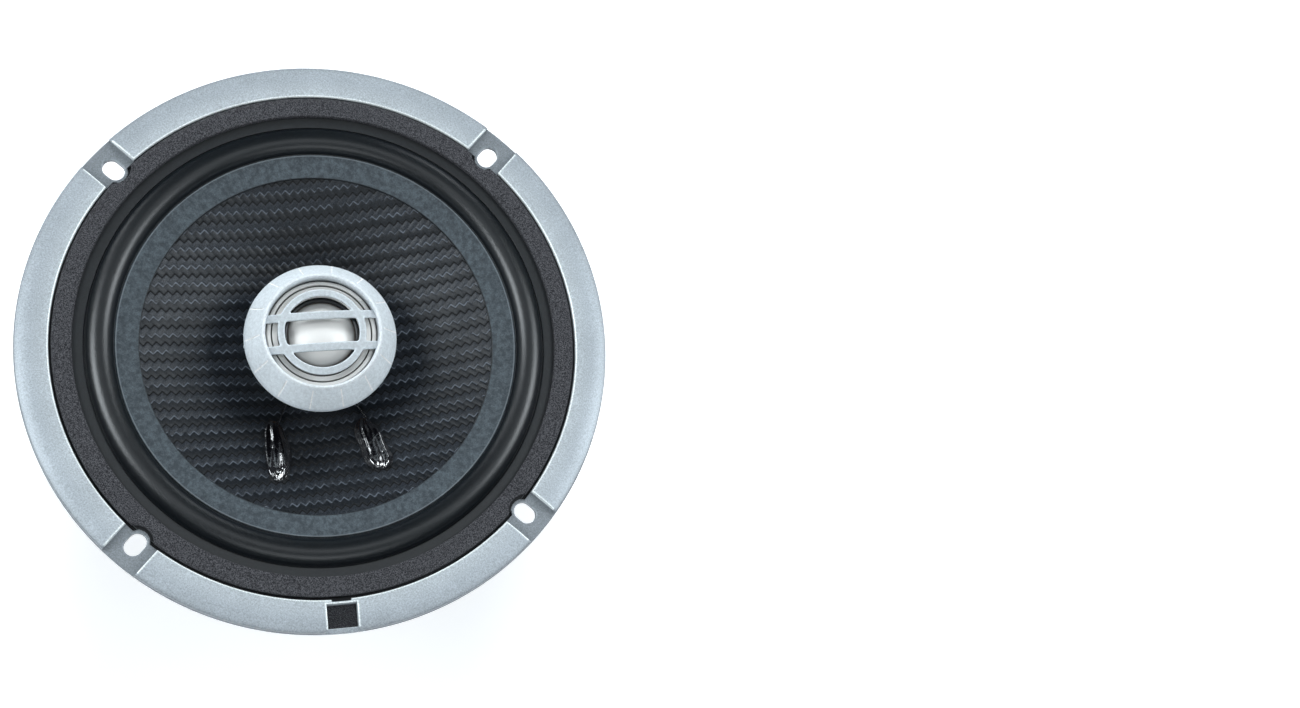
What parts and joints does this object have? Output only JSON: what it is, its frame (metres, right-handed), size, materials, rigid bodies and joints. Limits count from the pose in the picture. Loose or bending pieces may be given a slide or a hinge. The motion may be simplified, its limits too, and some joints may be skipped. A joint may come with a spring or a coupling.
{
  "type": "coaxial car speaker",
  "caption": "Round two-way coaxial car speaker: silver rim with slotted screw lands, woven cone in a rubber half-roll, and a tweeter with a barred guard on a centre post.",
  "frame": {"origin": "centre of the rim's rear face, on the speaker's axis", "axes": "+Z out of the front along the cone's axis; X and Y run through the four screw slots, and the small window in the rim lies on the diagonal between +X and -Y"},
  "size_m": [0.1704, 0.1704, 0.0716],
  "materials": {
    "basket_silver": "satin metallic",
    "bezel_silver": "satin metallic",
    "gasket_foam": "matte speckled foam",
    "plated_steel": "zinc plated",
    "ferrite": "ground ceramic",
    "nickel": "nickel plated",
    "black_plastic": "fine grain",
    "bright_metal": "bright, slightly warm",
    "brass": "satin",
    "red_insulation": "gloss",
    "black_insulation": "gloss",
    "board_fibre": "pressed fibre",
    "capacitor_sleeve": "gloss sleeve",
    "pale_adhesive": "soft",
    "cone_weave": "coated twill weave",
    "black_rubber": "satin",
    "spider_cloth": "impregnated cloth",
    "coil_former": "amber film",
    "copper": "enamelled winding",
    "lead_cover": "gloss",
    "tinsel": "braided"
  },
  "bodies": {
    "chassis": {"basket": "basket_silver", "front_gasket": "gasket_foam", "rear_gasket": "gasket_foam", "top_plate": "plated_steel", "ring_magnet": "ferrite", "back_plate_and_pole": "plated_steel", "basket_rivets": "plated_steel", "tweeter_post": "black_plastic", "post_washer": "plated_steel", "post_nut": "plated_steel", "post_screws": "plated_steel", "tweeter_housing": "black_plastic", "tweeter_bezel": "bezel_silver", "tweeter_face_ring": "bright_metal", "tweeter_pot": "plated_steel", "tweeter_magnet": "nickel", "tweeter_pole_plate": "plated_steel", "tweeter_tags": "brass", "tweeter_wire_positive": "red_insulation", "tweeter_wire_negative": "black_insulation", "terminal_board": "board_fibre", "terminal_positive": "brass", "terminal_negative": "brass", "terminal_rivets": "plated_steel", "crossover_capacitor": "capacitor_sleeve", "capacitor_leads": "plated_steel", "capacitor_adhesive": "pale_adhesive"},
    "cone_assembly": {"cone": "cone_weave", "surround": "black_rubber", "spider": "spider_cloth", "voice_coil_former": "coil_former", "voice_coil_winding": "copper", "coil_lead_left": "lead_cover", "coil_lead_right": "lead_cover", "lead_dab_left": "lead_cover", "lead_dab_right": "lead_cover", "tinsel_lead_left": "tinsel", "tinsel_lead_right": "tinsel"},
    "tweeter_diaphragm": {"tweeter_dome": "bright_metal", "tweeter_surround": "black_rubber", "tweeter_coil_former": "coil_former", "tweeter_coil_winding": "copper"}
  },
  "joints": [
    {"name": "cone_travel", "type": "slide", "parent": "chassis", "child": "cone_assembly", "axis": [0, 0, 1], "range_m": [-0.004, 0.004], "stiffness_N_per_m": 1500, "deforming": ["surround", "spider", "tinsel_lead_left", "tinsel_lead_right"]},
    {"name": "tweeter_travel", "type": "slide", "parent": "chassis", "child": "tweeter_diaphragm", "axis": [0, 0, 1], "range_m": [-0.00025, 0.00025], "stiffness_N_per_m": 30, "deforming": ["tweeter_surround"]}
  ]
}
